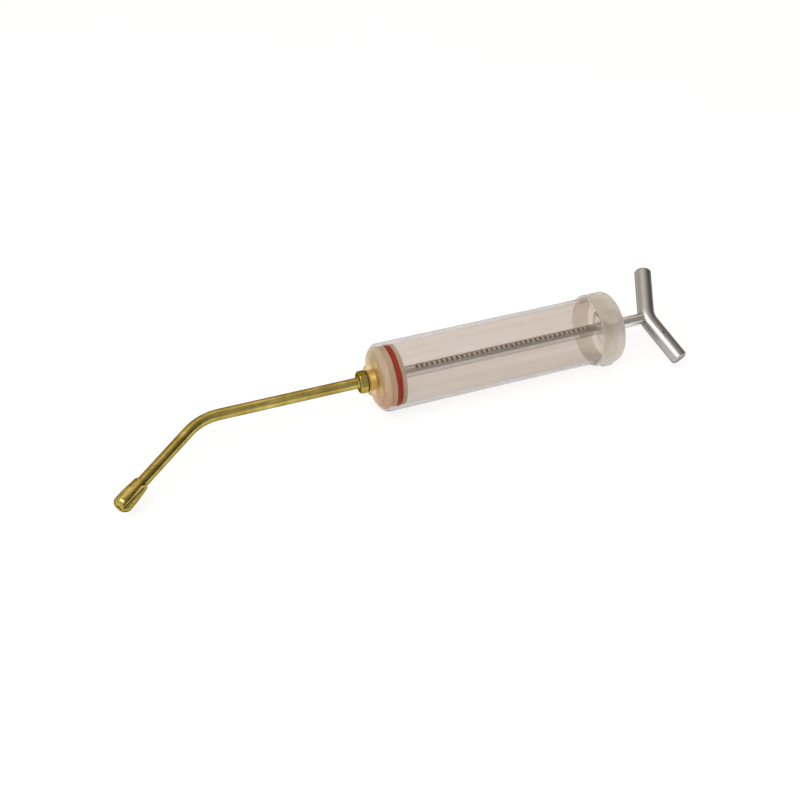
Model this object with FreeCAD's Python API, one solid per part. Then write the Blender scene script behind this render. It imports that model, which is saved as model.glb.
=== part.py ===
import FreeCAD, Part
import math
import os

from FreeCAD import Rotation, Vector

# Drenching syringe of about 300 ml that lies on its side.
# +X runs along the barrel from the nozzle to the handle, +Z is up,
# and the origin is on the barrel's axis, halfway along its plain length.
# All sizes are in millimetres.

# Barrel
bore_r = 23.5
barrel_wall = 2.5
barrel_body_length = 171.2
nose_rise = 8.5
nose_flat_r = 13.5
nose_wall = 7.1
nose_inner_corner = 7.0
boss_r = 11.3
boss_stand = 4.4
boss_chamfer = 1.5
barrel_thread_pitch = 3.0
barrel_thread_depth = 0.7
barrel_thread_turns = 3

# Cannula: union, tube and olive tip
union_thread_r = 7.5
union_flats = 15.0
union_hex_length = 6.0
union_hex_turn = 50.5
union_socket_depth = 8.0
union_recess = 0.3
washer_r = 8.3
washer_thickness = 0.7
tube_r = 4.2
tube_wall = 1.4
stem_length = 119.7
bend_angle = 38.5
bend_radius = 40.0
bend_roll = 73.0
reach_past_bend = 92.0
olive_length = 25.0
olive_nose_length = 5.4
olive_start_r = 5.4
olive_r = 6.95
olive_edge = 0.5
olive_socket_depth = 10.0
outlet_r = 1.45
flute_r = 2.5
flute_count = 3
flute_start = 4.0
flute_start_lift = 0.75
flute_end_lift = -0.45
flute_turn = 24.0

# Piston
piston_clearance = 0.4
piston_front_gap = 0.5
piston_front_length = 8.7
piston_rear_thickness = 3.0
ring_section = 4.6
ring_clearance = 0.05
ring_side_gap = 0.05
screw_head_r = 5.5
screw_head_length = 3.4
screw_shank_r = 1.75
screw_shank_length = 8.0
screw_pocket_clearance = 0.4
screw_slot_width = 1.2
screw_slot_depth = 1.3
rod_washer_r = 9.0
rod_washer_thickness = 1.5
swivel_clearance = 0.05

# Plunger rod and its rack
rod_r = 4.5
rod_spigot_r = 3.0
rod_length = 210.4
rack_inset = 13.8
rack_pitch = 4.1
rack_teeth = 36
rack_depth = 1.6
rack_gap_top = 2.7
rack_gap_bottom = 1.2

# Handle bar
handle_r = 6.6
handle_arm = 42.6
handle_sweep_angle = 18.5
handle_bend_radius = 18.0
handle_turn = 30.7
handle_chamfer = 1.5
handle_hole_past_axis = 2.0
handle_dot_r = 0.7
handle_dot_depth = 0.8
handle_dot_at = 18.6

# Screw cap, its bush and the catch spring
cap_length = 20.0
cap_r = 28.2
cap_end_wall = 8.0
cap_edge = 5.5
cap_front_chamfer = 0.8
cap_lobes = 7
lobe_crest_r = 30.0
lobe_r = 7.0
lobe_turn = 230.5
lobe_front = 2.2
lobe_back = 4.2
lobe_taper = 3.0
bush_r = 7.5
catch_wire_r = 0.8
catch_arc_r = 15.0
catch_reach_angle = 75.0
catch_slot_clearance = 0.2
catch_lift = 0.25

# Clearances of fits
turning_clearance = 0.05
thread_clearance = 0.06
end_gap = 0.3

# How far a groove is cut past the surface it starts from
cut_overrun = 1.0

# Places along the axis, worked out from the sizes above
barrel_r = bore_r + barrel_wall
shoulder_x = -barrel_body_length / 2
cap_front_x = barrel_body_length / 2
nose_front_x = shoulder_x - nose_rise
boss_front_x = nose_front_x - boss_stand
nose_inner_x = boss_front_x + nose_wall
cap_rear_x = cap_front_x + cap_length
cap_wall_x = cap_rear_x - cap_end_wall
barrel_end_x = cap_wall_x - end_gap
union_seat_x = boss_front_x - washer_thickness
union_front_x = union_seat_x - union_hex_length
bend_x = union_front_x - stem_length
tube_bore_r = tube_r - tube_wall
piston_front_x = nose_inner_x + piston_front_gap
ring_front_x = piston_front_x + piston_front_length
ring_rear_x = ring_front_x + ring_section + 2 * ring_side_gap
piston_rear_x = ring_rear_x + piston_rear_thickness
piston_r = bore_r - piston_clearance
ring_r = bore_r - ring_clearance
ring_seat_r = ring_r - ring_section
screw_pocket_depth = screw_head_length + piston_clearance
spigot_front_x = piston_front_x + screw_pocket_depth - swivel_clearance
rod_shoulder_x = piston_rear_x + swivel_clearance + rod_washer_thickness
handle_x = rod_shoulder_x + rod_length
rack_start_x = rod_shoulder_x + rack_inset
catch_slot_depth = 2 * catch_wire_r + catch_slot_clearance
bush_front_x = cap_wall_x + catch_slot_depth + catch_slot_clearance
tube_start_x = union_front_x + union_socket_depth

X_AXIS = Vector(1, 0, 0)
Y_AXIS = Vector(0, 1, 0)
ORIGIN = Vector(0, 0, 0)


def rod(radius, x_start, x_end):
    """A plain round bar along X."""
    return Part.makeCylinder(radius, x_end - x_start, Vector(x_start, 0, 0), X_AXIS)


def sleeve(outer_r, inner_r, x_start, x_end):
    return rod(outer_r, x_start, x_end).cut(rod(inner_r, x_start, x_end))


def point(x, r):
    """A point of a turned profile: x along the axis, r away from it."""
    return Vector(x, 0, r)


def turned(edges):
    """Turn a closed outline in the XZ plane about the X axis."""
    face = Part.Face(Part.Wire(edges))
    return face.revolve(ORIGIN, X_AXIS, 360)


def line(start, end):
    return Part.LineSegment(start, end).toShape()


def lines(points):
    return [line(a, b) for a, b in zip(points, points[1:])]


def round_the_axis(shape, degrees):
    turned_shape = shape.copy()
    turned_shape.rotate(ORIGIN, X_AXIS, degrees)
    return turned_shape


def fused(shapes):
    whole = shapes[0]
    for shape in shapes[1:]:
        whole = whole.fuse(shape)
    return whole.removeSplitter()


def make_barrel():
    """Clear moulding: domed nose, boss for the union, open threaded rear end."""
    dome = Part.Ellipse(point(shoulder_x, barrel_r), point(nose_front_x, nose_flat_r),
                        point(shoulder_x, nose_flat_r))
    outer = Part.ArcOfEllipse(dome, 0, math.pi / 2).toShape()
    corner = nose_inner_corner
    corner_x = nose_inner_x + corner
    half_way = corner * math.sqrt(0.5)
    corner_arc = Part.Arc(
        point(corner_x, bore_r),
        point(corner_x - half_way, bore_r - corner + half_way),
        point(nose_inner_x, bore_r - corner),
    ).toShape()
    edges = lines([point(nose_inner_x, bore_r - corner), point(nose_inner_x, 0),
                   point(boss_front_x, 0), point(boss_front_x, boss_r - boss_chamfer),
                   point(boss_front_x + boss_chamfer, boss_r), point(nose_front_x, boss_r),
                   point(nose_front_x, nose_flat_r)])
    edges += [outer]
    edges += lines([point(shoulder_x, barrel_r), point(barrel_end_x, barrel_r),
                    point(barrel_end_x, bore_r), point(corner_x, bore_r)])
    edges += [corner_arc]
    barrel = turned(Part.sortEdges(edges)[0])
    barrel = barrel.cut(rod(union_thread_r + turning_clearance, boss_front_x, nose_inner_x))
    groove_width = barrel_thread_pitch / 2
    for turn in range(barrel_thread_turns):
        x = barrel_end_x - (turn + 1) * barrel_thread_pitch + groove_width / 2
        barrel = barrel.cut(sleeve(barrel_r + cut_overrun, barrel_r - barrel_thread_depth,
                                   x, x + groove_width))
    return barrel


def make_nose_washer():
    return sleeve(washer_r, union_thread_r + turning_clearance, union_seat_x, boss_front_x)


def make_cannula_union():
    """Hexagon nut with a threaded spigot behind it and a socket for the tube in front."""
    corner_r = union_flats / 2 / math.cos(math.radians(30))
    corners = []
    for step in range(7):
        angle = math.radians(union_hex_turn + 60 * step)
        corners.append(Vector(union_front_x, corner_r * math.cos(angle),
                              corner_r * math.sin(angle)))
    nut = Part.Face(Part.makePolygon(corners)).extrude(Vector(union_hex_length, 0, 0))
    corner_cut = corner_r - union_flats / 2
    nut = nut.common(fused([
        Part.makeCone(union_flats / 2, corner_r, corner_cut,
                      Vector(union_front_x, 0, 0), X_AXIS),
        rod(corner_r, union_front_x + corner_cut, union_seat_x),
    ]))
    spigot = rod(union_thread_r, union_seat_x, nose_inner_x - union_recess)
    union = fused([nut, spigot])
    union = union.cut(rod(tube_r, union_front_x, tube_start_x))
    return union.cut(rod(tube_bore_r, tube_start_x, nose_inner_x))


def bent_bar(radius, first_length, second_length, turn, curve_r):
    """A bar that comes in along -X to a corner at the origin and leaves it turned down.

    first_length and second_length are measured to the corner, and curve_r is
    the radius of the bend's centre line."""
    cut_back = curve_r * math.tan(math.radians(turn) / 2)
    first = Part.makeCylinder(radius, first_length - cut_back, Vector(first_length, 0, 0),
                              Vector(-1, 0, 0))
    section = Part.Face(Part.Wire(
        Part.Circle(Vector(cut_back, 0, 0), X_AXIS, radius).toShape()))
    elbow = section.revolve(Vector(cut_back, 0, -curve_r), Vector(0, -1, 0), turn)
    second = Part.makeCylinder(radius, second_length - cut_back, Vector(-cut_back, 0, 0),
                               Vector(-1, 0, 0))
    second.rotate(ORIGIN, Vector(0, -1, 0), turn)
    return fused([first, elbow, second])


def make_cannula_tube():
    upper = tube_start_x - bend_x
    lower = reach_past_bend - olive_length + olive_socket_depth
    outside = bent_bar(tube_r, upper, lower, bend_angle, bend_radius)
    inside = bent_bar(tube_bore_r, upper, lower, bend_angle, bend_radius)
    tube = outside.cut(inside)
    tube.translate(Vector(bend_x, 0, 0))
    return round_the_axis(tube, -bend_roll)


def at_the_tip(shape):
    """Carry a shape that points along -X from the origin to the cannula's far end."""
    placed = shape.copy()
    placed.translate(Vector(-(reach_past_bend - olive_length), 0, 0))
    placed.rotate(ORIGIN, Vector(0, -1, 0), bend_angle)
    placed.translate(Vector(bend_x, 0, 0))
    return round_the_axis(placed, -bend_roll)


def make_olive_tip():
    """Rounded tip that fits the throat, with shallow flutes and a central outlet."""
    swell_end = olive_length - olive_nose_length
    swell = Part.BSplineCurve()
    swell.interpolate([
        point(-olive_edge, olive_start_r),
        point(-swell_end * 0.45, olive_start_r + 0.66 * (olive_r - olive_start_r)),
        point(-swell_end, olive_r),
    ], InitialTangent=Vector(-1, 0, 0.14), FinalTangent=Vector(-1, 0, 0))
    nose_angle = math.acos(2 * outlet_r / olive_r)
    nose = Part.Ellipse(point(-swell_end, olive_r), point(-olive_length, 0),
                        Vector(-swell_end, 0, 0))
    nose_arc = Part.ArcOfEllipse(nose, 0, nose_angle).toShape()
    nose_x = -swell_end - olive_nose_length * math.sin(nose_angle)
    edges = lines([point(nose_x, 2 * outlet_r), point(nose_x, 0), point(0, 0),
                   point(0, olive_start_r - olive_edge), point(-olive_edge, olive_start_r)])
    tip = turned(Part.sortEdges(edges + [swell.toShape(), nose_arc])[0])
    tip = tip.cut(rod(tube_r, -olive_socket_depth, 0))
    tip = tip.cut(rod(outlet_r, -olive_length, 0))
    start = Vector(-flute_start, 0, olive_r + flute_start_lift)
    end = Vector(-olive_length - cut_overrun, 0, olive_r + flute_end_lift)
    groove = fused([
        Part.makeCylinder(flute_r, (end - start).Length, start, end - start),
        Part.makeSphere(flute_r, start),
    ])
    for step in range(flute_count):
        tip = tip.cut(round_the_axis(groove, flute_turn + step * 360 / flute_count))
    return at_the_tip(tip)


def make_piston_front():
    """Front disc: follows the nose's inside corner and carries the ring's seat."""
    corner = nose_inner_corner
    body = turned(lines([
        point(piston_front_x, 0), point(piston_front_x, piston_r - corner),
        point(piston_front_x + corner, piston_r), point(ring_front_x, piston_r),
        point(ring_front_x, ring_seat_r), point(ring_rear_x, ring_seat_r),
        point(ring_rear_x, 0), point(piston_front_x, 0)]))
    pocket = rod(screw_head_r + screw_pocket_clearance, piston_front_x,
                 piston_front_x + screw_pocket_depth)
    return body.cut(pocket).cut(rod(rod_spigot_r + turning_clearance,
                                    piston_front_x, ring_rear_x))


def make_piston_rear():
    return sleeve(piston_r, rod_spigot_r + turning_clearance, ring_rear_x, piston_rear_x)


def make_piston_ring():
    middle_x = (ring_front_x + ring_rear_x) / 2
    return Part.makeTorus(ring_r - ring_section / 2, ring_section / 2,
                          Vector(middle_x, 0, 0), X_AXIS)


def make_piston_screw():
    """Cheese-head screw that holds the piston on the rod's spigot."""
    head_front_x = spigot_front_x - screw_head_length
    head = rod(screw_head_r, head_front_x, spigot_front_x)
    slot = Part.makeBox(screw_slot_depth, 2 * screw_head_r, screw_slot_width,
                        Vector(head_front_x, -screw_head_r, -screw_slot_width / 2))
    shank = rod(screw_shank_r, spigot_front_x, spigot_front_x + screw_shank_length)
    return fused([head.cut(slot), shank])


def make_rod_washer():
    return sleeve(rod_washer_r, rod_spigot_r, rod_shoulder_x - rod_washer_thickness,
                  rod_shoulder_x)


def make_plunger_rod():
    """Round rod with a rack cut along its top and a spigot for the piston."""
    bar = fused([rod(rod_spigot_r, spigot_front_x, rod_shoulder_x),
                 rod(rod_r, rod_shoulder_x, handle_x + handle_hole_past_axis)])
    bar = bar.cut(rod(screw_shank_r, spigot_front_x, spigot_front_x + screw_shank_length))
    gaps = []
    for tooth in range(rack_teeth):
        x = rack_start_x + tooth * rack_pitch
        outline = Part.makePolygon([
            Vector(x - rack_gap_top / 2, -rod_r, rod_r),
            Vector(x + rack_gap_top / 2, -rod_r, rod_r),
            Vector(x + rack_gap_bottom / 2, -rod_r, rod_r - rack_depth),
            Vector(x - rack_gap_bottom / 2, -rod_r, rod_r - rack_depth),
            Vector(x - rack_gap_top / 2, -rod_r, rod_r)])
        gaps.append(Part.Face(outline).extrude(Vector(0, 2 * rod_r, 0)))
    return bar.cut(Part.makeCompound(gaps))


def make_handle_bar():
    """Round bar bent to a shallow V, drilled at the bend for the rod."""
    bar = bent_bar(handle_r, handle_arm, handle_arm, 2 * handle_sweep_angle,
                   handle_bend_radius)
    for angle in (0, 2 * handle_sweep_angle):
        trim = sleeve(2 * handle_r, handle_r - handle_chamfer, 0, handle_chamfer)
        trim = trim.cut(Part.makeCone(handle_r, handle_r - handle_chamfer, handle_chamfer,
                                      ORIGIN, X_AXIS))
        trim.translate(Vector(handle_arm - handle_chamfer, 0, 0))
        if angle:
            trim.rotate(ORIGIN, Vector(0, 0, 1), 180)
            trim.rotate(ORIGIN, Vector(0, -1, 0), angle)
        bar = bar.cut(trim)
    dot = Part.makeCylinder(handle_dot_r, 2 * handle_r, Vector(handle_dot_at, 0, 0), Y_AXIS)
    dot = dot.cut(rod(handle_r - handle_dot_depth, 0, handle_arm))
    bar = bar.cut(dot)
    # The corner's inside looks down here, so the bar is stood up with its arms along Y.
    bar.rotate(ORIGIN, Vector(0, -1, 0), -handle_sweep_angle)
    bar.rotate(ORIGIN, Vector(0, 0, 1), -90)
    bar.rotate(ORIGIN, Y_AXIS, -90)
    bar.translate(Vector(handle_x, 0, 0))
    bar = round_the_axis(bar, handle_turn)
    return bar.cut(rod(rod_r, handle_x - 2 * handle_r, handle_x + handle_hole_past_axis))


def make_rear_cap():
    """Screw cap with a lobed grip, a hole for the bush and a seat for the spring."""
    bore = barrel_r + thread_clearance
    edge = cap_edge * (1 - math.sqrt(0.5))
    rear_arc = Part.Arc(point(cap_rear_x - cap_edge, cap_r),
                        point(cap_rear_x - edge, cap_r - edge),
                        point(cap_rear_x, cap_r - cap_edge)).toShape()
    edges = lines([point(cap_rear_x, cap_r - cap_edge), point(cap_rear_x, 0),
                   point(cap_wall_x, 0), point(cap_wall_x, bore), point(cap_front_x, bore),
                   point(cap_front_x, cap_r - cap_front_chamfer),
                   point(cap_front_x + cap_front_chamfer, cap_r),
                   point(cap_rear_x - cap_edge, cap_r)])
    cap = turned(Part.sortEdges(edges + [rear_arc])[0])
    lobe_axis_r = lobe_crest_r - lobe_r
    lobe_small_r = cap_r - cap_front_chamfer - lobe_axis_r
    lobe_start = cap_front_x + lobe_front
    lobe_end = cap_rear_x - lobe_back
    lobe = fused([
        Part.makeCone(lobe_small_r, lobe_r, lobe_taper, Vector(lobe_start, 0, 0), X_AXIS),
        rod(lobe_r, lobe_start + lobe_taper, lobe_end - lobe_taper),
        Part.makeCone(lobe_r, lobe_small_r, lobe_taper,
                      Vector(lobe_end - lobe_taper, 0, 0), X_AXIS)])
    lobe.translate(Vector(0, lobe_axis_r, 0))
    inside = rod(bore, cap_front_x, cap_wall_x)
    lobe = lobe.cut(inside)
    for step in range(cap_lobes):
        cap = cap.fuse(round_the_axis(lobe, lobe_turn + step * 360 / cap_lobes))
    cap = cap.removeSplitter()
    cap = cap.cut(rod(bush_r + turning_clearance, cap_wall_x, cap_rear_x))
    half_slot = catch_wire_r + catch_slot_clearance
    slot_end_x = cap_wall_x + catch_slot_depth
    cap = cap.cut(sleeve(catch_arc_r + half_slot, catch_arc_r - half_slot,
                         cap_wall_x, slot_end_x))
    chord_z = rod_r + catch_lift + catch_wire_r
    slot = Part.makeBox(catch_slot_depth, 2 * catch_arc_r, 2 * half_slot,
                        Vector(cap_wall_x, -catch_arc_r, chord_z - half_slot))
    slot = slot.common(rod(catch_arc_r, cap_wall_x, slot_end_x))
    return cap.cut(slot)


def make_rod_bush():
    return sleeve(bush_r, rod_r + turning_clearance, bush_front_x, cap_rear_x)


def make_catch_spring():
    """Wire spring: a straight leg beside the rack and two arcs that hold it in the cap."""
    x = cap_wall_x + catch_slot_depth - catch_wire_r
    chord_z = rod_r + catch_lift + catch_wire_r
    chord_y = math.sqrt(catch_arc_r ** 2 - chord_z ** 2)
    chord_angle = math.degrees(math.asin(chord_z / catch_arc_r))
    leg = Part.makeCylinder(catch_wire_r, 2 * chord_y, Vector(x, -chord_y, chord_z), Y_AXIS)
    section = Part.Face(Part.Wire(Part.Circle(
        Vector(x, catch_arc_r, 0), Vector(0, 0, 1), catch_wire_r).toShape()))
    arc = section.revolve(ORIGIN, X_AXIS, -catch_reach_angle)
    arc = round_the_axis(arc, chord_angle)
    other_arc = arc.copy()
    other_arc.rotate(Vector(x, 0, 0), Vector(0, 0, 1), 180)
    corners = [Part.makeSphere(catch_wire_r, Vector(x, y, chord_z)) for y in (-chord_y, chord_y)]
    return fused([leg, arc, other_arc] + corners)


makers = {
    "barrel": make_barrel,
    "nose_washer": make_nose_washer,
    "cannula_union": make_cannula_union,
    "cannula_tube": make_cannula_tube,
    "olive_tip": make_olive_tip,
    "piston_front": make_piston_front,
    "piston_rear": make_piston_rear,
    "piston_ring": make_piston_ring,
    "piston_screw": make_piston_screw,
    "rod_washer": make_rod_washer,
    "plunger_rod": make_plunger_rod,
    "handle_bar": make_handle_bar,
    "rear_cap": make_rear_cap,
    "rod_bush": make_rod_bush,
    "catch_spring": make_catch_spring,
}

os.makedirs("parts", exist_ok=True)
for name, make in makers.items():
    shape = make()
    solids = len(shape.Solids)
    print(name, "solids", solids, "valid", shape.isValid(), "volume %.1f" % shape.Volume)
    shape.exportStep("parts/%s.step" % name)

tip_turn = Rotation(X_AXIS, -bend_roll) * Rotation(Vector(0, -1, 0), bend_angle)
tip_axis = tip_turn.multVec(Vector(-1, 0, 0))
outlet = Vector(bend_x, 0, 0) + tip_axis * reach_past_bend
stroke = cap_wall_x - rod_shoulder_x
print("outlet at", tuple(round(v, 3) for v in outlet), "axis",
      tuple(round(v, 5) for v in tip_axis))
print("boss front", round(boss_front_x, 2), "union front", round(union_front_x, 2),
      "bend", round(bend_x, 2), "handle", round(handle_x, 2), "cap rear", round(cap_rear_x, 2))
print("room for the stroke %.1f mm, swept volume %.0f ml"
      % (stroke, stroke * math.pi * bore_r ** 2 / 1000))
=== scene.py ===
# %% [markdown]
# A drenching syringe in clear plastic, brass, steel and aluminium.
# The solids of the frame are already at their real size and place, so this lesson only
# dresses them: each visible piece gets a finer mesh and a material with real detail.
# The object lies along X, from the nozzle to the handle, and Z is up.

# %% Load the frame
import bmesh
import bpy
import math
from mathutils import Matrix, Vector


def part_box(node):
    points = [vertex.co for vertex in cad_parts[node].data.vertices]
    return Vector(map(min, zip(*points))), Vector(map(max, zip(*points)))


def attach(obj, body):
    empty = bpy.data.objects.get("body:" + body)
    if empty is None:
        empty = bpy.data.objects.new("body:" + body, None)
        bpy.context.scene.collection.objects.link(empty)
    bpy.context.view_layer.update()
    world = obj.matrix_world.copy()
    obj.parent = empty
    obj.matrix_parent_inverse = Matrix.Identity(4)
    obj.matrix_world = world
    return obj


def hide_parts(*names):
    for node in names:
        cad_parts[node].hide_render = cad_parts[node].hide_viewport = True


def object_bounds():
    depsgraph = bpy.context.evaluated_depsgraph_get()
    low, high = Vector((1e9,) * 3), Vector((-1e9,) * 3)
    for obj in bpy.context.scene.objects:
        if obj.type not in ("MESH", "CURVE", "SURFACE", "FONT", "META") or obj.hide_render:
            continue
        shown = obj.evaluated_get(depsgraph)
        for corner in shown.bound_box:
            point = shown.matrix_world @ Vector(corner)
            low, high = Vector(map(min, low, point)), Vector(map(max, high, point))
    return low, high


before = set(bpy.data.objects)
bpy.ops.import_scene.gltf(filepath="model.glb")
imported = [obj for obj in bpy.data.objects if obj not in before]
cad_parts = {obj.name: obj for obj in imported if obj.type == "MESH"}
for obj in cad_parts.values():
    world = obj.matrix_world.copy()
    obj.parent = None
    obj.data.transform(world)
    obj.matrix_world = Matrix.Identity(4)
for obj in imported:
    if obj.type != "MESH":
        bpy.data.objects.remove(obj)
frame_bounds = [list(corner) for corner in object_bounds()]
MM = 0.001
print("nodes in the frame:", ", ".join(sorted(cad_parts)))

# %% [markdown]
# Blender works in metres, but a hand tool is easier to think about in millimetres, so
# every size here is in millimetres and is multiplied by MM when a vertex is made.
# Places come from the boxes of the frame's nodes. Walls and fits don't show in a box, so
# they are written out, with the real values of the part.

# %% Sizes shared by several pieces
def box_in_mm(node):
    """A frame node's lowest and highest corners, in millimetres."""
    return [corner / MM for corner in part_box(node)]


barrel_low, barrel_high = box_in_mm("barrel")
union_low, union_high = box_in_mm("cannula_union")
fit_play = 0.05
boss_front_x = barrel_low.x
barrel_end_x = barrel_high.x
barrel_r = barrel_high.z
barrel_wall = 2.5
bore_r = barrel_r - barrel_wall
boss_length = 4.4
nose_rise = 8.5
nose_flat_r = 13.5
nose_depth = 7.1
nose_front_x = boss_front_x + boss_length
shoulder_x = nose_front_x + nose_rise
nose_inner_x = boss_front_x + nose_depth
nose_corner_r = 7.0
thread_r = 7.5
hole_r = thread_r + fit_play
tube_r = 4.2
tube_bore_r = 2.8
spigot_r = 3.0
spigot_hole_r = spigot_r + fit_play
print("barrel from %.1f to %.1f mm, radius %.1f mm" % (boss_front_x, barrel_end_x, barrel_r))

# %% [markdown]
# Nearly every piece of a syringe is turned or moulded round one axis, so one helper does
# most of the modelling: it turns an outline about X. A cylinder primitive would have
# hard corners that catch no light, so the outline's corners are rounded first. A second
# function may change the radius with the angle, which gives flutes, lobes, hexagons and
# threads from the same helper.

# %% Rounding an outline
def rounded(corners, step=0.5, side_share=0.49, fewest=3):
    """Round each corner (x, r, fillet) of a closed outline with an arc."""
    points = []
    for index, (x, r, fillet) in enumerate(corners):
        here = Vector((x, r))
        if fillet == 0:
            points.append((x, r))
            continue
        before = Vector(corners[index - 1][:2]) - here
        after = Vector(corners[(index + 1) % len(corners)][:2]) - here
        half = before.angle(after) / 2
        cut = min(fillet / math.tan(half), side_share * before.length,
                  side_share * after.length)
        start = before.normalized() * cut
        end = after.normalized() * cut
        centre = (start + end).normalized() * (cut / math.cos(half))
        sweep = math.pi - 2 * half
        count = max(fewest, math.ceil(cut * math.tan(half) * sweep / step))
        for n in range(count + 1):
            ahead = math.sin(sweep * (1 - n / count)) / math.sin(sweep)
            behind = math.sin(sweep * n / count) / math.sin(sweep)
            spot = here + centre + (start - centre) * ahead + (end - centre) * behind
            points.append((spot.x, spot.y))
    return points


def divided(points, longest, start_x=-1e9, end_x=1e9, slack=1e-6):
    """Divide an outline's long runs between start_x and end_x, so that a ring is near."""
    fine = []
    for index, start in enumerate(points):
        end = points[(index + 1) % len(points)]
        fine.append(start)
        low_x, high_x = sorted((start[0], end[0]))
        inside = low_x >= start_x - slack and high_x <= end_x + slack
        if (start[1] == 0 and end[1] == 0) or not inside:
            continue
        pieces = math.ceil(math.hypot(end[0] - start[0], end[1] - start[1]) / longest)
        for n in range(1, pieces):
            fine.append((start[0] + (end[0] - start[0]) * n / pieces,
                         start[1] + (end[1] - start[1]) * n / pieces))
    return fine


corner = rounded([(0, 0, 0), (10, 0, 2), (10, 10, 0)])[1:-1]
print("a corner rounded to 2 mm becomes", len(corner), "points")

# %% Turning an outline into a mesh
def turned_mesh(bm, outline, segments, radius_at=None, place=None, closed=True):
    """Turn an outline about X into bm. radius_at(x, r, angle) may change a radius."""
    rings = []
    for segment in range(segments):
        angle = 2 * math.pi * segment / segments
        ring = []
        for index, (x, r) in enumerate(outline):
            if r == 0 and segment:
                ring.append(rings[0][index])
                continue
            real_r = radius_at(x, r, angle) if radius_at and r else r
            spot = Vector((x, real_r * math.cos(angle), real_r * math.sin(angle)))
            spot = place(spot) if place else spot
            ring.append(bm.verts.new(spot * MM))
        rings.append(ring)
    for segment in range(segments):
        here = rings[segment]
        there = rings[(segment + 1) % segments]
        for index in range(len(outline) if closed else len(outline) - 1):
            after = (index + 1) % len(outline)
            corners = [here[index], here[after], there[after], there[index]]
            corners = [v for n, v in enumerate(corners) if v not in corners[:n]]
            if len(corners) > 2:
                bm.faces.new(corners)


def finished(name, bm, material, sharp=35, merge=1e-7):
    """Make the object of a finished mesh: closed, outward, smooth with crisp edges."""
    bmesh.ops.remove_doubles(bm, verts=bm.verts, dist=merge)
    bmesh.ops.recalc_face_normals(bm, faces=bm.faces)
    open_edges = sum(1 for edge in bm.edges if len(edge.link_faces) != 2)
    mesh = bpy.data.meshes.new(name)
    bm.to_mesh(mesh)
    bm.free()
    mesh.shade_smooth()
    mesh.set_sharp_from_angle(angle=math.radians(sharp))
    mesh.materials.append(material)
    piece = bpy.data.objects.new(name, mesh)
    bpy.context.scene.collection.objects.link(piece)
    print(name, "faces", len(mesh.polygons), "open edges", open_edges)
    return piece


def turned(name, outline, material, segments=96, radius_at=None, place=None, sharp=35):
    """Turn an outline about X into a finished object."""
    bm = bmesh.new()
    turned_mesh(bm, outline, segments, radius_at, place)
    return finished(name, bm, material, sharp)


def dressed(piece, body, node):
    """Let a piece stand for its node and move with its body."""
    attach(piece, body)
    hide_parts(node)


# %% [markdown]
# Threads, lobes and flutes are all small changes of a radius, so they share a few sums:
# a value held between 0 and 1, a wave that winds round like a thread, the way from an
# angle to the nearest lobe or flute, and the larger or smaller of two radii with the
# step between them rounded, because a moulding or a ground groove has no knife edge.

# %% Sums for a changing radius
def limited(value):
    """Hold a value between 0 and 1."""
    return min(1, max(0, value))


def thread_wave(into, pitch, angle):
    """0 on the crest of a thread and 1 in its groove."""
    return 0.5 - 0.5 * math.cos(2 * math.pi * into / pitch - angle)


def off_nearest(angle, turn, step):
    """The angle left over from the nearest of several directions, a step apart."""
    return (angle - turn + step / 2) % step - step / 2


def larger(one, other, blend):
    return 0.5 * (one + other + math.hypot(one - other, blend))


def smaller(one, other, blend):
    return 0.5 * (one + other - math.hypot(one - other, blend))


print("where two radii of 10 mm meet, a blend of 0.25 adds %.3f mm" % (larger(10, 10, 0.25) - 10))

# %% [markdown]
# A bent bar is easiest to model straight and bend afterwards: each ring is carried onto
# an arc, and past the arc onto the second straight. This keeps the section round through
# the bend, which a curve with few points would not.

# %% Bending a straight bar
def bent(spot, corner_x, turn, curve_r):
    """Bend a bar that runs along X: beyond corner_x towards -X it turns down by turn."""
    start_x = corner_x + curve_r * math.tan(turn / 2)
    run = start_x - spot.x
    if run <= 0:
        return spot
    angle = min(run / curve_r, turn)
    past = max(run - curve_r * turn, 0)
    reach = curve_r + spot.z
    x = start_x - reach * math.sin(angle) - past * math.cos(turn)
    z = reach * math.cos(angle) - curve_r - past * math.sin(turn)
    return Vector((x, spot.y, z))


def unrolled(past_corner, corner_x, turn, curve_r):
    """The straight bar's x for a point past_corner beyond the bend's corner."""
    return corner_x + 2 * curve_r * math.tan(turn / 2) - curve_r * turn - past_corner


saved = unrolled(0, 0, math.pi / 2, 10)
print("a right-angled bend of 10 mm radius is %.1f mm shorter than its corner" % saved)

# %% [markdown]
# A material is a tree of nodes. Each node needs its settings, and each input a value or
# a link from another node, so a few helpers say all that in one line. A Mix node has
# sockets for every kind of value under the same names, so they are reached by number,
# and the numbers get names here.

# %% Helpers for node trees
FACTOR = 0
FIRST_NUMBER, SECOND_NUMBER, MIXED_NUMBER = 2, 3, 0
FIRST_COLOUR, SECOND_COLOUR, MIXED_COLOUR = 6, 7, 2


def group_socket(tree, name, kind, direction, value=None):
    """Give a node group a named input or output."""
    socket = tree.interface.new_socket(name=name, in_out=direction, socket_type=kind)
    if value is not None:
        socket.default_value = value


def feed(tree, node, sources):
    """Give each named input of a node its value, or a link from another's output."""
    for name, source in sources.items():
        if isinstance(source, bpy.types.NodeSocket):
            tree.links.new(source, node.inputs[name])
        else:
            node.inputs[name].default_value = source


def added(tree, kind, sources=None, **settings):
    """Add a node with its settings and feed its inputs."""
    node = tree.nodes.new(kind)
    for name, value in settings.items():
        setattr(node, name, value)
    feed(tree, node, sources or {})
    return node


def maths(tree, operation, *numbers, clamp=False):
    """Calculate with up to three numbers, each a value or another node's output."""
    numbered = dict(enumerate(numbers))
    node = added(tree, "ShaderNodeMath", numbered, operation=operation, use_clamp=clamp)
    return node.outputs[0]


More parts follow.
